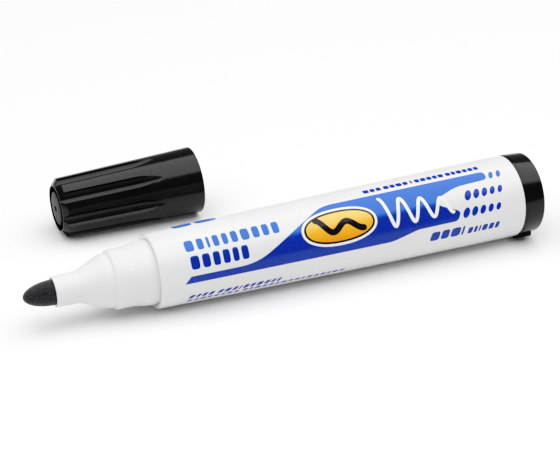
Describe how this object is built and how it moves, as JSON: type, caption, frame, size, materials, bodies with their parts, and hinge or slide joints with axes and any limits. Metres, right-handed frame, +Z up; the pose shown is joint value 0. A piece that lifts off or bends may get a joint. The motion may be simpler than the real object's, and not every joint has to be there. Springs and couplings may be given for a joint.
{
  "type": "whiteboard marker",
  "caption": "Bullet-nib dry-wipe marker with a tapered white barrel, black end plug with an anti-roll lug, and its fluted black cap pulled off and lying beside it.",
  "frame": {"origin": "on the table, under the middle of the box that holds the marker and its cap", "axes": "+Z up from the table; +X along the marker from the nib to the end plug; +Y from the marker toward the cap"},
  "size_m": [0.1146, 0.0542, 0.0182],
  "materials": {
    "white_gloss": "gloss",
    "white_satin": "satin",
    "black_gloss": "gloss",
    "black_satin": "satin",
    "fibre_nib": "matte",
    "fibre_core": "matte",
    "clear_film": "gloss",
    "blue_ink_print": "gloss",
    "amber_ink_print": "gloss"
  },
  "bodies": {
    "marker": {"barrel": "white_gloss", "front_section": "white_satin", "nib": "fibre_nib", "ink_reservoir": "fibre_core", "reservoir_wrap": "clear_film", "end_plug": "black_gloss"},
    "cap": {"cap_shell": "black_gloss", "cap_inner": "black_satin"}
  },
  "joints": [
    {"name": "cap_pull", "type": "slide", "parent": "marker", "child": "cap", "axis": [-1, 0, 0], "range_m": [0, 0.056]}
  ]
}
